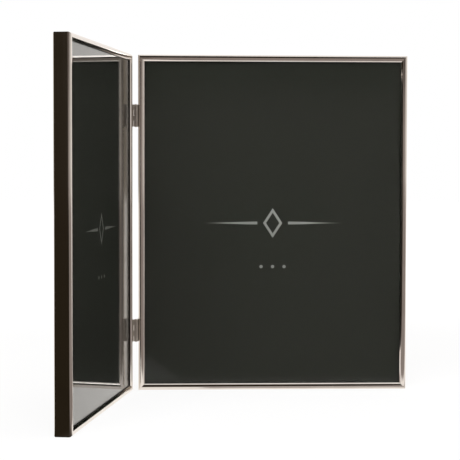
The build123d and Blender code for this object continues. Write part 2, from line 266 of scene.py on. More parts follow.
class Wire:
    """An output of a shader node. Arithmetic on it adds Math nodes."""

    def __init__(self, shading, socket):
        self.shading = shading
        self.socket = socket

    def math(self, operation, first, second=0.0):
        """One Math node."""
        return self.shading.node("Math", {"operation": operation}, {0: first, 1: second})

    def output(self, name):
        """Another output of the same node."""
        return Wire(self.shading, self.socket.node.outputs[name])

    def __add__(self, other):
        return self.math("ADD", self, other)

    def __radd__(self, other):
        return self.math("ADD", other, self)

    def __sub__(self, other):
        return self.math("SUBTRACT", self, other)

    def __rsub__(self, other):
        return self.math("SUBTRACT", other, self)

    def __mul__(self, other):
        return self.math("MULTIPLY", self, other)

    def __rmul__(self, other):
        return self.math("MULTIPLY", other, self)

    def __lt__(self, other):
        return self.math("LESS_THAN", self, other)

    def __gt__(self, other):
        return self.math("GREATER_THAN", self, other)

    def __or__(self, other):
        return self.math("MAXIMUM", self, other)

    def __and__(self, other):
        return self.math("MINIMUM", self, other)

    def __abs__(self):
        return self.math("ABSOLUTE", self)


class Shading:
    """The node tree of one material or of the world."""

    def __init__(self, owner):
        owner.use_nodes = True
        self.owner = owner
        self.tree = owner.node_tree
        self.tree.nodes.clear()

    def node(self, kind, settings=None, inputs=None, output=0):
        """Adds a node, sets it, fills or links its sockets and returns an output. Colours are opaque."""
        made = self.tree.nodes.new("ShaderNode" + kind)
        for name, value in (settings or {}).items():
            setattr(made, name, value)
        for name, value in (inputs or {}).items():
            if isinstance(value, Wire):
                self.tree.links.new(value.socket, made.inputs[name])
            elif made.inputs[name].type == "RGBA":
                made.inputs[name].default_value = (*value, 1.0)
            else:
                made.inputs[name].default_value = value
        return Wire(self, made.outputs[output]) if made.outputs else None

    def mix(self, first, second, share):
        """Two colours mixed."""
        return self.node("Mix", {"data_type": "RGBA"}, {0: share, 6: first, 7: second}, output=2)

    def step(self, value, start, end):
        """0 below start and 1 above end, with a smooth change between them."""
        inputs = {"Value": value, "From Min": start, "From Max": end}
        return self.node("MapRange", {"interpolation_type": "SMOOTHSTEP"}, inputs)

    def noise(self, vector, scale, detail):
        """Soft noise from 0 to 1."""
        return self.node("TexNoise", None, {"Vector": vector, "Scale": scale, "Detail": detail})

    def streaks(self, vector, scales, detail):
        """Soft noise with a scale of its own along each axis."""
        scaled = self.node("Mapping", None, {"Vector": vector, "Scale": scales})
        return self.noise(scaled, scale=1.0, detail=detail)

    def leaf_coordinates(self, leaf):
        """Metres across, back and up from the foot of a leaf."""
        place = self.node("TexCoord", output="Object")
        inputs = {"Vector": place, "Location": leaf.foot, "Rotation": (0.0, 0.0, leaf.turn)}
        return self.node("Mapping", {"vector_type": "TEXTURE"}, inputs)

    def split(self, vector):
        """The first part of a vector, whose second and third are the outputs Y and Z."""
        return self.node("SeparateXYZ", None, {"Vector": vector}, output="X")

    def relief(self, height, depth):
        """A Bump normal of a height from 0 to 1."""
        return self.node("Bump", None, {"Height": height, "Distance": depth})

    def surface(self, **inputs):
        """Ends a material with a Principled surface and returns it. A name's underscores are spaces."""
        named = {name.replace("_", " "): value for name, value in inputs.items()}
        shader = self.node("BsdfPrincipled", None, named)
        self.node("OutputMaterial", None, {"Surface": shader})
        return self.owner


WHITE = (1.0, 1.0, 1.0)

# Scales of the fine lines on metal, per metre, along and across their run
LINE_ALONG = 12.0
LINE_ACROSS = 1400.0

# Handling marks on metal: scale per metre, levels between which they dull it, and how much
MARK_SCALE = 55.0
MARK_LEVELS = (0.42, 0.75)
MARK_SHARE = 0.5

# Painted shade line beside the pane: where it starts and is whole, in millimetres, and its added roughness
EDGE_LINE = (0.15, 0.05)
EDGE_ROUGHNESS = 0.4

# Scales of the flecks and strokes, per metre across, back and up
PULP_FLECKS = (500.0, 500.0, 500.0)
FIBRE_FLECKS = (300.0, 1200.0, 300.0)
FLECK_LEVELS = (0.45, 0.7)
VELVET_STROKES = (38.0, 38.0, 9.0)
STROKE_LEVELS = (0.38, 0.68)
STROKE_SHARE = 0.75


def drawn_along(run):
    """Scales of fine lines that run along one of a leaf's axes."""
    return tuple(LINE_ALONG if axis == run else LINE_ACROSS for axis in "xyz")


def from_middle(shading, coordinates):
    """Metres across and up from the middle of a leaf."""
    across = shading.split(coordinates)
    return across, across.output("Z") - LEAF_HEIGHT * MM / 2


def pane_edge_shade_mask(shading, coordinates):
    """1 where the shade line is painted on the rails beside the pane, and 0 elsewhere."""
    across, height = from_middle(shading, coordinates)
    inset = (LEAF_WIDTH * MM / 2 - abs(across)) & (LEAF_HEIGHT * MM / 2 - abs(height))
    start, whole = ((BEAD_WIDTH - margin) * MM for margin in EDGE_LINE)
    return shading.step(inset, start, whole)


def metal(name, leaf, run, shades, roughness, spread, relief_depth, edge_shade=None):
    """Plated metal with fine lines along an axis, handling marks, small changes of tone and optional painted
    shade.
    """
    bright, dull = shades
    shading = Shading(bpy.data.materials.new(f"{leaf.name}_{name}"))
    coordinates = shading.leaf_coordinates(leaf)
    lines = shading.streaks(coordinates, drawn_along(run), detail=3.0)
    marks = shading.noise(coordinates, scale=MARK_SCALE, detail=4.0)
    tone = shading.mix(bright, dull, shading.step(marks, *MARK_LEVELS) * MARK_SHARE)
    gloss = roughness + spread * marks + spread * lines
    # Painted shade: the rails' edge beside the pane is darkened and roughened as a shade line
    if edge_shade:
        line = pane_edge_shade_mask(shading, coordinates)
        tone = shading.mix(tone, edge_shade, line)
        gloss = gloss + EDGE_ROUGHNESS * line
    return shading.surface(
        Base_Color=tone,
        Metallic=1.0,
        Roughness=gloss,
        Normal=shading.relief(lines, relief_depth),
    )


def rail_plate(finishes, leaf, level):
    """Polished plate whose draw lines run along a level or an upright rail, with painted shade beside the pane."""
    name, run = ("level_rail_plate", "x") if level else ("upright_rail_plate", "z")
    shades = (finishes.plate_bright, finishes.plate_dull)
    return metal(
        name, leaf, run, shades, roughness=0.045, spread=0.04, relief_depth=0.000003,
        edge_shade=finishes.plate_edge_shade,
    )


def hinge_plate_finish(finishes, leaf):
    """Satin plate with lines down the hinge."""
    shades = (finishes.hinge_bright, finishes.hinge_dull)
    return metal("hinge_satin", leaf, "z", shades, roughness=0.22, spread=0.14, relief_depth=0.000006)


def clip_finish(finishes, leaf):
    """Zinc plate with the faint lines of rolled strip."""
    shades = (finishes.clip_bright, finishes.clip_dull)
    return metal("clip_zinc", leaf, "x", shades, roughness=0.24, spread=0.12, relief_depth=0.000006)


def steel_finish(finishes, leaf):
    """Bare rolled steel inside the mitres."""
    shades = (finishes.steel_bright, finishes.steel_dull)
    return metal("corner_steel", leaf, "y", shades, roughness=0.32, spread=0.14, relief_depth=0.000008)


def pane_glass(finishes):
    """Clear glass with a low-glare finish."""
    shading = Shading(bpy.data.materials.new("pane_glass"))
    return shading.surface(Base_Color=finishes.glass, Roughness=0.0, IOR=1.22, Transmission_Weight=1.0)


# Sizes of the ornament printed on the cards, in metres
LOZENGE_WIDTH = 0.0075
LOZENGE_HEIGHT = 0.0115
LOZENGE_LINE = 0.30
RULE_START = 0.012
RULE_END = 0.056
RULE_THICKNESS = 0.0011
DOT_DROP = 0.034
DOT_SPACING = 0.009
DOT_RADIUS = 0.0013
DOT_ROW = 1.5 * DOT_SPACING


def ornament_mask(shading, across, height):
    """A hollow lozenge between two rules that taper outwards, over a row of three dots."""
    side = abs(across)
    rise = abs(height)
    reach = side * (1 / LOZENGE_WIDTH) + rise * (1 / LOZENGE_HEIGHT)
    lozenge = (reach < 1.0) & (reach > 1.0 - LOZENGE_LINE)
    taper = shading.step(side, RULE_END, RULE_START) * RULE_THICKNESS
    rules = (rise < taper) & (side > RULE_START)
    drop = height + DOT_DROP
    nearest = abs(abs(side - DOT_SPACING / 2) - DOT_SPACING / 2)
    dots = (nearest * nearest + drop * drop < DOT_RADIUS * DOT_RADIUS) & (side < DOT_ROW)
    return lozenge | rules | dots


def print_card(finishes, leaf):
    """Black card with a grey ornament printed at its middle."""
    shading = Shading(bpy.data.materials.new(f"{leaf.name}_print_card"))
    coordinates = shading.leaf_coordinates(leaf)
    across, height = from_middle(shading, coordinates)
    printed = ornament_mask(shading, across, height)
    grain = shading.noise(coordinates, scale=1800.0, detail=3.0)
    return shading.surface(
        Base_Color=shading.mix(finishes.card, finishes.ornament, printed),
        Roughness=0.55 + 0.16 * grain,
        Specular_IOR_Level=0.02,
        Normal=shading.relief(grain, depth=0.000006),
    )


def flecked(name, base, fleck, leaf, scales):
    """Pulp or pressed fibre: flecks over a matt base."""
    shading = Shading(bpy.data.materials.new(f"{leaf.name}_{name}"))
    coordinates = shading.leaf_coordinates(leaf)
    flecks = shading.streaks(coordinates, scales, detail=5.0)
    return shading.surface(
        Base_Color=shading.mix(base, fleck, shading.step(flecks, *FLECK_LEVELS)),
        Roughness=0.72 + 0.2 * flecks,
        Normal=shading.relief(flecks, depth=0.0001),
    )


def velvet(finishes, leaf):
    """Short black pile, brushed in broad strokes, with a sheen at its edges."""
    shading = Shading(bpy.data.materials.new(f"{leaf.name}_back_velvet"))
    coordinates = shading.leaf_coordinates(leaf)
    strokes = shading.streaks(coordinates, VELVET_STROKES, detail=4.0)
    pile = shading.noise(coordinates, scale=2600.0, detail=2.0)
    nap = shading.step(strokes, *STROKE_LEVELS) * STROKE_SHARE + pile * (1 - STROKE_SHARE)
    return shading.surface(
        Base_Color=shading.mix(finishes.velvet, finishes.velvet_nap, nap),
        Roughness=0.78 + 0.2 * pile,
        Sheen_Weight=0.22,
        Sheen_Roughness=0.38,
        Normal=shading.relief(pile, depth=0.00025),
    )


# Past the first angle an edge is rounded, and past the second its shading stays sharp
HARD_ANGLE = math.radians(40.0)
SMOOTH_ANGLE = math.radians(30.0)

# Segments of a rail's fold, steps of a full turn, and how near two points count as one, in millimetres
BEAD_SEGMENTS = 14
TURN_STEPS = 40
WELD = 0.0005

# Shares of the rivets' sizes: a head's rounded part, the dimple's flat, its rim's rounding and the clench
HINGE_RIVET_DOME = 0.9
CLIP_RIVET_DOME = 0.8
DIMPLE_FLAT = 0.8
DIMPLE_ROUND = 0.6
CLENCH_SHARE = 0.85

# Half a clip's hole: a little less than half a turn, so that the halves' ends stay apart
HOLE_TURN = math.pi * 0.98


def placed(origin, first, second):
    """A place with its origin and its first two directions."""
    directions = Matrix((first, second, first.cross(second))).transposed()
    return Matrix.Translation(origin) @ directions.to_4x4()


def picked(geometry, kind):
    """The elements of one kind among a list of mesh elements."""
    return [item for item in geometry if isinstance(item, kind)]


def everything(shape):
    """All the elements of a shape."""
    return shape.verts[:] + shape.edges[:] + shape.faces[:]


def soften(shape, edges, width, segments):
    """Rounds edges of a shape."""
    bmesh.ops.bevel(
        shape, geom=edges, offset=width, offset_type="OFFSET", segments=segments, profile=0.5,
        affect="EDGES", clamp_overlap=True, material=-1,
    )


def hard_edges(shape):
    """The edges at which a closed shape turns sharply."""
    return [edge for edge in shape.edges if edge.is_manifold and edge.calc_face_angle() > HARD_ANGLE]


def extrude_up(shape, faces, amount):
    """Extrudes faces along the shape's z and returns the faces at the new level."""
    moved = bmesh.ops.extrude_face_region(shape, geom=faces)["geom"]
    bmesh.ops.translate(shape, vec=UP * amount, verts=picked(moved, BMVert))
    return picked(moved, BMFace)


def tangent_length(edge, radius):
    """How far from a fold its rounding starts, for a radius."""
    return radius * math.tan(edge.calc_face_angle() / 2)


def even_normals(shape):
    """Turns a shape's faces to one side, which is the outside if it is closed."""
    bmesh.ops.recalc_face_normals(shape, faces=shape.faces)


def turn_outward(shape, direction):
    """Turns an open sheet's faces to the side that most of it shows in a direction."""
    facing = sum(face.normal.dot(direction) * face.calc_area() for face in shape.faces)
    if facing < 0:
        bmesh.ops.reverse_faces(shape, faces=shape.faces)


def draw_out(shape, edges, vector):
    """Extrudes edges into faces and returns the edges at the far side."""
    moved = bmesh.ops.extrude_edge_only(shape, edges=edges)["geom"]
    verts = picked(moved, BMVert)
    bmesh.ops.translate(shape, vec=vector, verts=verts)
    return [edge for edge in picked(moved, BMEdge) if all(vert in verts for vert in edge.verts)]


def box_shape(low, high, rounding, segments):
    """A box between two corners, with its edges rounded."""
    shape = bmesh.new()
    bmesh.ops.create_cube(shape, size=1.0)
    bmesh.ops.scale(shape, vec=high - low, verts=shape.verts)
    bmesh.ops.translate(shape, vec=(low + high) / 2, verts=shape.verts)
    soften(shape, shape.edges[:], rounding, segments)
    return shape


def turned_shape(profile):
    """A profile of radii and heights, from axis to axis, turned about z."""
    shape = bmesh.new()
    verts = [shape.verts.new((radius, 0, height)) for radius, height in profile]
    edges = [shape.edges.new(pair) for pair in zip(verts, verts[1:])]
    bmesh.ops.spin(
        shape, geom=verts + edges, cent=(0, 0, 0), axis=UP, angle=math.tau, steps=TURN_STEPS,
        use_merge=True,
    )
    bmesh.ops.remove_doubles(shape, verts=shape.verts, dist=WELD)
    even_normals(shape)
    return shape


def ring_edges(shape, radius, height):
    """The edges of a turned shape at a radius and a height."""
    def at_ring(vert):
        return abs(vert.co.xy.length - radius) < WELD and abs(vert.co.z - height) < WELD

    return [edge for edge in shape.edges if all(at_ring(vert) for vert in edge.verts)]


def repeat_at(shape, places):
    """Puts copies of a shape at places, instead of the shape itself."""
    pattern = everything(shape)
    for place in places:
        copy = bmesh.ops.duplicate(shape, geom=pattern)["geom"]
        bmesh.ops.transform(shape, matrix=place, verts=picked(copy, BMVert))
    bmesh.ops.delete(shape, geom=picked(pattern, BMVert), context="VERTS")


def settings(context):
    """The sizes and the finishes."""
    return context.scene.photoframe_sizes, context.scene.photoframe_finishes


def add_object(name, shape, material):
    """Makes a finished shape an object of the scene."""
    mesh = bpy.data.meshes.new(name)
    shape.to_mesh(mesh)
    shape.free()
    mesh.materials.append(material)
    made = bpy.data.objects.new(name, mesh)
    bpy.context.scene.collection.objects.link(made)
    return made


def add_piece(making, node, shape, place, material, body):
    """Makes a finished shape a piece that rides on a body and stands for a node."""
    shape.transform(place)
    piece = add_object(f"{making}_{node}", shape, material)
    piece.data.shade_smooth()
    piece.data.set_sharp_from_angle(angle=SMOOTH_ANGLE)
    normals = piece.modifiers.new("Even normals", "WEIGHTED_NORMAL")
    normals.keep_sharp = True
    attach(piece, body)
    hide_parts(node)


def dress(node, material):
    """Gives a node of the frame its material."""
    for slot in frame["nodes"][node].material_slots:
        slot.material = material


def rail_shape(sizes, run):
    """A rolled rail: x goes in from the side wall's outside, y back and z along, mitred at both ends."""
    shoulder = sizes.bead_shoulder / MM
    meets_wall = sizes.bead_outer / MM * (1 - math.tan(math.pi / 4 + sizes.bead_slope / 2))
    ridge = BEAD_WIDTH - shoulder
    fall = meets_wall + ridge * math.tan(sizes.bead_slope)
    folds = {
        (BEAD_WIDTH, fall + shoulder): sizes.bead_edge,
        (ridge, fall): sizes.bead_crown,
        (0.0, meets_wall): sizes.bead_outer,
        (0.0, LEAF_DEPTH): sizes.lip_radius,
    }
    outline = [(BEAD_WIDTH, GLASS_LOW.y), *folds, (sizes.lip / MM, LEAF_DEPTH)]
    shape = bmesh.new()
    verts = [shape.verts.new((x, y, -run / 2)) for x, y in outline]
    edges = [shape.edges.new(pair) for pair in zip(verts, verts[1:])]
    draw_out(shape, edges, UP * run)
    for corner, radius in folds.items():
        fold = [
            edge for edge in shape.edges
            if all((vert.co.xy - Vector(corner)).length < WELD for vert in edge.verts)
        ]
        soften(shape, fold, tangent_length(fold[0], radius / MM), BEAD_SEGMENTS)
    even_normals(shape)
    turn_outward(shape, Vector((-1, -1, 0)))
    bmesh.ops.solidify(shape, geom=shape.faces[:], thickness=sizes.sheet / MM)
    even_normals(shape)
    for end in (1, -1):
        cut = bmesh.ops.bisect_plane(
            shape, geom=everything(shape), dist=WELD, plane_co=UP * (end * run / 2),
            plane_no=(1, 0, end), clear_outer=True,
        )
        rim = picked(cut["geom_cut"], BMEdge)
        bmesh.ops.contextual_create(shape, geom=rim)
        soften(shape, rim, sizes.mitre_groove / MM, segments=1)
    even_normals(shape)
    return shape


def rail_places(leaf):
    """Where the rails of a leaf go, with the length of each and whether it is level."""
    middle = LEAF_HEIGHT / 2
    side = Vector((leaf.hinge_side, 0, 0))
    edge = side * (LEAF_WIDTH / 2)
    return {
        "top_rail": (placed(UP * LEAF_HEIGHT, -UP, DEPTH), LEAF_WIDTH, True),
        "bottom_rail": (placed(Vector(), UP, DEPTH), LEAF_WIDTH, True),
        "hinge_rail": (placed(UP * middle + edge, -side, DEPTH), LEAF_HEIGHT, False),
        "outer_rail": (placed(UP * middle - edge, side, DEPTH), LEAF_HEIGHT, False),
    }


class PHOTOFRAME_OT_rails(bpy.types.Operator):
    """Roll the eight rails from sheet and plate them"""

    bl_idname = "photoframe.rails"
    bl_label = "Rails"

    def execute(self, context):
        sizes, finishes = settings(context)
        for leaf in LEAVES:
            plates = {level: rail_plate(finishes, leaf, level) for level in (True, False)}
            for name, (at_leaf, run, level) in rail_places(leaf).items():
                node = f"{leaf.name}_{name}"
                shape = rail_shape(sizes, run)
                place = leaf.place @ at_leaf
                add_piece("rolled", node, shape, place, plates[level], leaf.body)
        return {"FINISHED"}


class PHOTOFRAME_OT_panes(bpy.types.Operator):
    """Cut the panes and blunt their edges"""

    bl_idname = "photoframe.panes"
    bl_label = "Panes"

    def execute(self, context):
        sizes, finishes = settings(context)
        material = pane_glass(finishes)
        play = DEPTH * (sizes.pane_play / MM)
        for leaf in LEAVES:
            shape = box_shape(GLASS_LOW + play, GLASS_HIGH - play, sizes.pane_arris / MM, segments=2)
            node = f"{leaf.name}_glass"
            add_piece("cut", node, shape, leaf.place, material, leaf.body)
        return {"FINISHED"}


class PHOTOFRAME_OT_layers(bpy.types.Operator):
    """Finish the print cards, boards, panels and corner angles inside the leaves"""

    bl_idname = "photoframe.layers"
    bl_label = "Cards, boards and angles"

    def execute(self, context):
        finishes = context.scene.photoframe_finishes
        for leaf in LEAVES:
            pulp = flecked("pulp_board", finishes.board, finishes.board_fleck, leaf, PULP_FLECKS)
            fibre = flecked("fibre_panel", finishes.fibre, finishes.fibre_dark, leaf, FIBRE_FLECKS)
            dress(f"{leaf.name}_print_card", print_card(finishes, leaf))
            dress(f"{leaf.name}_backing_board", pulp)
            dress(f"{leaf.name}_back_panel", fibre)
            dress(f"{leaf.name}_corner_angles", steel_finish(finishes, leaf))
        return {"FINISHED"}


class PHOTOFRAME_OT_velvet(bpy.types.Operator):
    """Cover the backs with velvet"""

    bl_idname = "photoframe.velvet"
    bl_label = "Velvet covers"

    def execute(self, context):
        sizes, finishes = settings(context)
        for leaf in LEAVES:
            shape = box_shape(VELVET_LOW, VELVET_HIGH, sizes.velvet_edge / MM, segments=3)
            material = velvet(finishes, leaf)
            node = f"{leaf.name}_velvet_cover"
            add_piece("pile", node, shape, leaf.place, material, leaf.body)
        return {"FINISHED"}


def rolled_plate(sizes, leaf, first):
    """A hinge plate about its axis: every second knuckle, from the first, is rolled round the pin."""
    inward = -leaf.hinge_side
    half = HINGE_HEIGHT / 2
    pitch = HINGE_HEIGHT / sizes.knuckles
    gap = sizes.knuckle_gap / MM / 2
    plate = sizes.plate / MM
    notch = math.sqrt(BARREL_RADIUS**2 - (BARREL_RADIUS - plate) ** 2) + sizes.knuckle_clearance / MM
    spans = []
    for number in range(first, sizes.knuckles, 2):
        top = half - number * pitch - (gap if number > 0 else 0)
        bottom = half - (number + 1) * pitch + (gap if number < sizes.knuckles - 1 else 0)
        spans.append((bottom, top))
    levels = sorted({-half, half, *(level for span in spans for level in span)})
    shape = bmesh.new()
    column = [shape.verts.new((inward * BARREL_RADIUS, PLATE_END, level)) for level in levels]
    back = [shape.edges.new(pair) for pair in zip(column, column[1:])]
    front = draw_out(shape, back, DEPTH * (notch - PLATE_END))
    own = []
    for edge in front:
        middle = (edge.verts[0].co.z + edge.verts[1].co.z) / 2
        if any(bottom < middle < top for bottom, top in spans):
            own.append(edge)
    neck = draw_out(shape, own, -DEPTH * notch)
    bmesh.ops.spin(
        shape, geom=neck + [vert for edge in neck for vert in edge.verts], cent=(0, 0, 0), axis=UP,
        angle=-inward * sizes.roll, steps=TURN_STEPS,
    )
    even_normals(shape)
    turn_outward(shape, Vector((inward, 0, 0)))
    bmesh.ops.solidify(shape, geom=shape.faces[:], thickness=plate)
    even_normals(shape)
    soften(shape, hard_edges(shape), sizes.plate_arris / MM, segments=2)
    return shape


def pin_shape(sizes):
    """A hinge pin with rounded ends, about the middle of its axis."""
    half = (PIN_HIGH.z - PIN_LOW.z) / 2
    shape = turned_shape([(0, half), (PIN_RADIUS, half), (PIN_RADIUS, -half), (0, -half)])
    ends = ring_edges(shape, PIN_RADIUS, half) + ring_edges(shape, PIN_RADIUS, -half)
    soften(shape, ends, sizes.pin_round / MM, segments=4)
    return shape


def hinge_rivet_shape(sizes):
    """A rivet through plate and wall: z looks out of the leaf from the wall's outside."""
    radius = (HINGE_RIVETS_HIGH.y - HINGE_RIVETS_LOW.y) / 2
    shank = sizes.hinge_rivet_shank / MM
    seat = sizes.plate / MM
    top = seat + sizes.hinge_rivet_head / MM
    inner = -sizes.sheet / MM
    clench = inner - sizes.hinge_rivet_clench / MM
    shape = turned_shape([
        (0, top), (radius, top), (radius, seat), (shank, seat), (shank, inner), (radius, inner),
        (radius, clench), (0, clench),
    ])
    rims = ring_edges(shape, radius, top) + ring_edges(shape, radius, clench)
    soften(shape, rims, (top - seat) * HINGE_RIVET_DOME, segments=5)
    return shape


class PHOTOFRAME_OT_hinges(bpy.types.Operator):
    """Roll the hinge plates and add their pins and rivets"""

    bl_idname = "photoframe.hinges"
    bl_label = "Hinges"

    def execute(self, context):
        sizes, finishes = settings(context)
        right, left = LEAVES
        satin = {leaf: hinge_plate_finish(finishes, leaf) for leaf in LEAVES}
        middles = []
        for level in LEVELS:
            low, high = frame_box(f"{level}_hinge_pin")
            middle = (low.z + high.z) / 2
            middles.append(middle)
            rise = Matrix.Translation(UP * middle)
            for leaf, kind, first in ((left, "swing", 0), (right, "fixed", 1)):
                node = f"{level}_hinge_{kind}_plate"
                shape = rolled_plate(sizes, leaf, first)
                place = leaf.at_axis @ rise
                add_piece("rolled", node, shape, place, satin[leaf], leaf.body)
            node = f"{level}_hinge_pin"
            shape = pin_shape(sizes)
            place = right.at_axis @ rise
            add_piece("turned", node, shape, place, satin[right], right.body)
        depth = (HINGE_RIVETS_LOW.y + HINGE_RIVETS_HIGH.y) / 2
        spacing = sizes.hinge_rivet_spacing / MM
        for leaf in LEAVES:
            side = leaf.hinge_side
            places = []
            for middle in middles:
                for end in (1, -1):
                    seat = Vector((side * LEAF_WIDTH / 2, depth, middle + end * spacing / 2))
                    places.append(placed(seat, DEPTH, UP * side))
            shape = hinge_rivet_shape(sizes)
            repeat_at(shape, places)
            node = f"{leaf.name}_hinge_rivets"
            add_piece("domed", node, shape, leaf.place, satin[leaf], leaf.body)
        return {"FINISHED"}


def arc(shape, start, turn, steps, centre=Vector()):
    """Draws an arc from a point about a centre and returns its first and last vertices."""
    first = shape.verts.new(start)
    drawn = bmesh.ops.spin(shape, geom=[first], cent=centre, axis=UP, angle=turn, steps=steps)
    return first, picked(drawn["geom_last"], BMVert)[0]


def joined_arcs(shape, arcs):
    """Joins arcs end to end into a closed line and returns its edges."""
    before = set(shape.edges)
    ends = [arc(shape, *one) for one in arcs]
    for (_, last), (after, _) in zip(ends, ends[1:] + ends[:1]):
        shape.edges.new((last, after))
    return [edge for edge in shape.edges if edge not in before]


def clip_shape(sizes):
    """A turn clip: x goes out from its pivot to its tip and z up from the velvet."""
    pivot = LEAVES[0].local(JOINTS["right_clip_outer_upper_turn"]["pos_m"])
    half = (CLIP_HIGH.z - CLIP_LOW.z) / 2
    reach = CLIP_HIGH.x - pivot.x
    sheet = sizes.clip / MM
    rib = sizes.clip_rib / MM / 2
    rib_start = sizes.clip_rivet_head / MM + 2 * rib
    rib_end = reach - sizes.clip_rib_margin / MM
    spread = math.asin(half / reach)
    shape = bmesh.new()
    outline = joined_arcs(shape, [
        ((0, half, 0), math.pi, TURN_STEPS // 2),
        ((reach * math.cos(spread), -half, 0), 2 * spread, TURN_STEPS // 4),
    ])
    hole = joined_arcs(shape, [
        ((sizes.clip_hole / MM, 0, 0), HOLE_TURN, TURN_STEPS // 2),
        ((-sizes.clip_hole / MM, 0, 0), HOLE_TURN, TURN_STEPS // 2),
    ])
    slot = joined_arcs(shape, [
        ((rib_start, rib, 0), math.pi, TURN_STEPS // 4, Vector((rib_start, 0, 0))),
        ((rib_end, -rib, 0), math.pi, TURN_STEPS // 4, Vector((rib_end, 0, 0))),
    ])
    bmesh.ops.triangle_fill(shape, use_beauty=True, edges=outline + hole + slot, normal=UP)
    bmesh.ops.triangle_fill(shape, use_beauty=True, edges=slot, normal=UP)
    raised = []
    for face in extrude_up(shape, shape.faces[:], sheet):
        centre = face.calc_center_median()
        nearest = min(max(centre.x, rib_start), rib_end)
        if math.hypot(centre.x - nearest, centre.y) < rib:
            raised.append(face)
    extrude_up(shape, raised, CLIP_HIGH.y - CLIP_LOW.y - sheet)
    even_normals(shape)
    soften(shape, hard_edges(shape), sizes.clip_arris / MM, segments=2)
    return shape


def clip_rivet_shape(sizes):
    """A tubular rivet with a dimpled head, from the panel's counterbore: z looks back."""
    bottom = CLIP_RIVETS_LOW.y
    top = CLIP_RIVETS_HIGH.y
    clench = bottom + sizes.clip_rivet_clench / MM
    seat = top - sizes.clip_rivet_height / MM
    dimple = top - sizes.clip_rivet_dimple / MM
    head = sizes.clip_rivet_head / MM
    shank = sizes.clip_rivet_shank / MM
    flat = shank * DIMPLE_FLAT
    clenched = head * CLENCH_SHARE
    shape = turned_shape([
        (0, dimple), (flat, dimple), (shank, top), (head, top), (head, seat), (shank, seat),
        (shank, clench), (clenched, clench), (clenched, bottom), (0, bottom),
    ])
    soften(shape, ring_edges(shape, head, top), (top - seat) * CLIP_RIVET_DOME, segments=5)
    soften(shape, ring_edges(shape, shank, top), (shank - flat) * DIMPLE_ROUND, segments=2)
    return shape


class PHOTOFRAME_OT_clips(bpy.types.Operator):
    """Stamp the turn clips and set their rivets"""

    bl_idname = "photoframe.clips"
    bl_label = "Turn clips"

    def execute(self, context):
        sizes, finishes = settings(context)
        for leaf in LEAVES:
            zinc = clip_finish(finishes, leaf)
            pivots = []
            for side_name in SIDES:
                side = leaf.hinge_side if side_name == "hinge" else -leaf.hinge_side
                for level in LEVELS:
                    name = f"{side_name}_{level}"
                    pivot = leaf.local(JOINTS[f"{leaf.name}_clip_{name}_turn"]["pos_m"])
                    pivot.y = 0
                    pivots.append(placed(pivot, Vector((side, 0, 0)), UP * -side))
                    shape = clip_shape(sizes)
                    place = leaf.place @ Matrix.Translation(DEPTH * CLIP_LOW.y) @ pivots[-1]
                    node = f"{leaf.name}_turn_clip_{name}"
                    body = f"{leaf.name}_clip_{name}"
                    add_piece("stamped", node, shape, place, zinc, body)
            shape = clip_rivet_shape(sizes)
            repeat_at(shape, pivots)
            node = f"{leaf.name}_clip_rivets"
            add_piece("dimpled", node, shape, leaf.place, zinc, leaf.body)
        return {"FINISHED"}


# Parts of the studio, by how far a direction points across, back or up: where each starts and is whole
ROOM_BACK = (0.10, -0.20)
CORNER_ACROSS = (-0.31, -0.385)
CEILING_UP = (0.09, 0.24)
CEILING_BACK = (0.30, 0.05)
BACKDROP_END = (0.05, -0.25)
WALL_ACROSS = (0.10, 0.70)
TOP_LIGHT_LEAN = 0.7
TOP_LIGHT_UP = (0.955, 0.985)

# Dark gear on both sides of a gap in the room: the gap's middle and side, the gear's end and foot
GEAR_MIDDLE = 0.215
GEAR_SIDE = (0.045, 0.075)
GEAR_END = (0.285, 0.255)
GEAR_FOOT = (0.03, 0.06)


def studio_world(stage):
    """A white backdrop for the camera, and the studio round it for light, metal and glass."""
    shading = Shading(bpy.data.worlds.new("studio"))
    across = shading.split(shading.node("TexCoord", output="Generated"))
    back = across.output("Y")
    up = across.output("Z")
    room = shading.step(back, *ROOM_BACK)
    corner = shading.step(across, *CORNER_ACROSS) * room
    ceiling = shading.step(up, *CEILING_UP) * shading.step(back, *CEILING_BACK)
    aside = abs(across - GEAR_MIDDLE)
    gear = shading.step(aside, *GEAR_SIDE) * shading.step(aside, *GEAR_END) * shading.step(up, *GEAR_FOOT)
    end = shading.step(across, *BACKDROP_END)
    wall = shading.step(across, *WALL_ACROSS) * room
    top = shading.step(up + TOP_LIGHT_LEAN * across, *TOP_LIGHT_UP)
    shade = stage.studio_back
    for part, share in (
        (stage.studio_left, end), (stage.studio_front, room), (stage.studio_right, wall),
        (stage.studio_dark, corner | ceiling | gear * room), (stage.studio_top, top),
    ):
        shade = shading.mix(shade, part, share)
    seen = shading.node("LightPath", output="Is Camera Ray")
    shade = shading.mix(shade, WHITE, seen)
    shader = shading.node("Background", None, {"Color": shade, "Strength": 1.0})
    shading.node("OutputWorld", None, {"Surface": shader})
    bpy.context.scene.world = shading.owner


# The floor: paint, drop below the feet in millimetres, brightness, how much of a shadow shows, and where
# across, in metres, the room's dark corner ends on it
FLOOR_PAINT = (0.8, 0.8, 0.8)
FLOOR_DROP = 0.05
FLOOR_GLOW = 1.05
SHADOW_SHARE = 0.15
FLOOR_CORNER = (-0.16, -0.09)

# Shade on the mirrored floor, in metres: its start and end before the right leaf's foot, and its start
# beside the hinges
SHADE_START = (0.0003, 0.0015)
SHADE_END = (0.016, 0.010)
SHADE_SIDE = (-0.062, -0.047)
SHADE_STRENGTH = 0.85


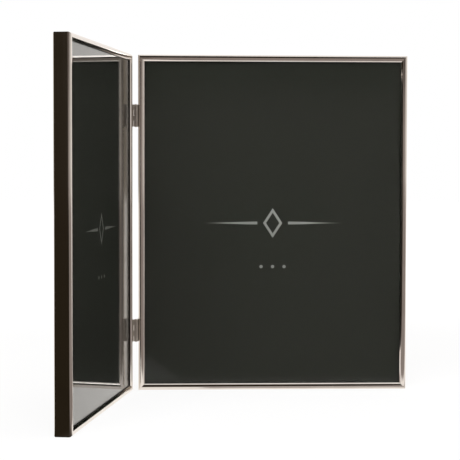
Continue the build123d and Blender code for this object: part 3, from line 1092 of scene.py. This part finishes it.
def floor_paint(stage):
    """A pale floor that is white where no shadow falls. In reflections it shows painted room tones, darker away
    from the leaves.
    """
    shading = Shading(bpy.data.materials.new("studio_floor"))
    place = shading.node("TexCoord", output="Object")
    across = shading.split(place)
    back = across.output("Y")
    room = shading.step(across, *FLOOR_CORNER)
    far = shading.mix(stage.studio_dark, stage.studio_front, room)
    near = shading.step(back, -stage.floor_far, -stage.floor_near)
    along = shading.split(shading.leaf_coordinates(LEAVES[1]))
    strip = shading.step(along.output("Y"), -stage.strip_far, -stage.strip_near)
    outer_end = -LEAF_WIDTH * MM / 2
    near = near | (strip & shading.step(along, outer_end, outer_end + stage.strip_fade))
    gap = -LEAF_DEPTH * MM / 2 - back
    shade = shading.step(gap, *SHADE_START) * shading.step(gap, *SHADE_END)
    near = near * (1.0 - SHADE_STRENGTH * shade * shading.step(across, *SHADE_SIDE))
    path = shading.node("LightPath", output="Is Camera Ray")
    glossy = path.output("Is Glossy Ray")
    unscattered = path.output("Diffuse Depth") < 1.0
    seen = (path | glossy | path.output("Is Transmission Ray")) & unscattered
    matt = shading.node("BsdfDiffuse", None, {"Color": FLOOR_PAINT})
    bright = shading.node("Emission", None, {"Color": WHITE, "Strength": FLOOR_GLOW})
    distance = shading.node("VectorMath", {"operation": "LENGTH"}, {0: place}, output="Value")
    close = shading.step(distance, stage.shadow_end, stage.shadow_start)
    direct = shading.node("MixShader", None, {0: SHADOW_SHARE * close, 1: bright, 2: matt})
    # Painted reflection: the floor glows in the room's tones for metal and glass, white near the leaves
    reflection = shading.mix(far, stage.studio_back, near)
    mirrored = shading.node("Emission", None, {"Color": reflection})
    shown = shading.node("MixShader", None, {0: glossy, 1: direct, 2: mirrored})
    shader = shading.node("MixShader", None, {0: seen, 1: matt, 2: shown})
    shading.node("OutputMaterial", None, {"Surface": shader})
    return shading.owner


def hang_lamp(name, place, width, depth, watts):
    """A soft lamp out of the camera's sight, which shines straight down until it is turned."""
    lamp = bpy.data.objects.new(name, bpy.data.lights.new(name, "AREA"))
    lamp.data.shape = "RECTANGLE"
    lamp.data.size = width
    lamp.data.size_y = depth
    lamp.data.energy = watts
    lamp.matrix_world = Matrix.Translation(place)
    lamp.visible_camera = False
    bpy.context.scene.collection.objects.link(lamp)
    return lamp


def front_lamp(stage):
    """The soft lamp that lights the leaves from the front. Metal and glass don't show it."""
    lamp = hang_lamp("front_lamp", stage.lamp_place, stage.lamp_side, stage.lamp_side, stage.lamp_power)
    away = Vector(stage.lamp_place) - UP * (LEAF_HEIGHT * MM / 2)
    lamp.matrix_world = lamp.matrix_world @ away.to_track_quat("Z", "Y").to_matrix().to_4x4()
    lamp.visible_glossy = False


def top_lamps(stage):
    """The two wide lamps overhead that shine in polished metal. They give no other light."""
    apart = (stage.top_lamp_gap + stage.top_lamp_depth) / 2
    for name, end in (("rear_top_lamp", 1), ("near_top_lamp", -1)):
        place = Vector(stage.top_lamp_place) + DEPTH * (end * apart)
        lamp = hang_lamp(name, place, stage.top_lamp_width, stage.top_lamp_depth, stage.top_lamp_power)
        lamp.visible_diffuse = False
        lamp.visible_transmission = False


class PHOTOFRAME_OT_stage(bpy.types.Operator):
    """Set the floor, the studio, the lamps and the camera"""

    bl_idname = "photoframe.stage"
    bl_label = "Stage"

    def execute(self, context):
        scene = context.scene
        stage = scene.photoframe_stage
        shape = bmesh.new()
        bmesh.ops.create_grid(shape, x_segments=1, y_segments=1, size=stage.floor_size)
        bmesh.ops.translate(shape, vec=-UP * FLOOR_DROP * MM, verts=shape.verts)
        floor = add_object("floor", shape, floor_paint(stage))
        studio_world(stage)
        front_lamp(stage)
        top_lamps(stage)
        camera = bpy.data.objects.new("camera", bpy.data.cameras.new("camera"))
        camera.data.lens = stage.camera_lens
        camera.matrix_world = (
            Matrix.Translation(stage.camera_place)
            @ Matrix.Rotation(stage.camera_turn, 4, "Z")
            @ Matrix.Rotation(math.pi / 2 + stage.camera_tilt, 4, "X")
            @ Matrix.Rotation(stage.camera_roll, 4, "Z")
        )
        scene.collection.objects.link(camera)
        scene.camera = camera
        scene.view_settings.view_transform = "Standard"
        return {"FINISHED"}


GROUPS = {
    "photoframe_sizes": PHOTOFRAME_PG_sizes,
    "photoframe_finishes": PHOTOFRAME_PG_finishes,
    "photoframe_stage": PHOTOFRAME_PG_stage,
}
OPERATORS = (
    PHOTOFRAME_OT_stage, PHOTOFRAME_OT_rails, PHOTOFRAME_OT_panes, PHOTOFRAME_OT_layers,
    PHOTOFRAME_OT_velvet, PHOTOFRAME_OT_hinges, PHOTOFRAME_OT_clips,
)


class PHOTOFRAME_PT_sidebar(bpy.types.Panel):
    """Lists the steps that dress the frame, with their settings"""

    bl_label = "Photo Frame"
    bl_idname = "PHOTOFRAME_PT_sidebar"
    bl_space_type = "VIEW_3D"
    bl_region_type = "UI"
    bl_category = "Photo Frame"

    def draw(self, context):
        column = self.layout.column(align=True)
        for operator in OPERATORS:
            column.operator(operator.bl_idname)
        for group, kind in GROUPS.items():
            box = self.layout.box()
            for name in kind.__annotations__:
                box.prop(getattr(context.scene, group), name)


CLASSES = (*GROUPS.values(), *OPERATORS, PHOTOFRAME_PT_sidebar)


def register():
    for each in CLASSES:
        bpy.utils.register_class(each)
    for group, kind in GROUPS.items():
        setattr(bpy.types.Scene, group, bpy.props.PointerProperty(type=kind))


def unregister():
    for group in GROUPS:
        delattr(bpy.types.Scene, group)
    for each in reversed(CLASSES):
        bpy.utils.unregister_class(each)


def main():
    """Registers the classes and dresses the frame."""
    register()
    bpy.ops.photoframe.stage()
    bpy.ops.photoframe.rails()
    bpy.ops.photoframe.panes()
    bpy.ops.photoframe.layers()
    bpy.ops.photoframe.velvet()
    bpy.ops.photoframe.hinges()
    bpy.ops.photoframe.clips()


if __name__ == "__main__":
    main()
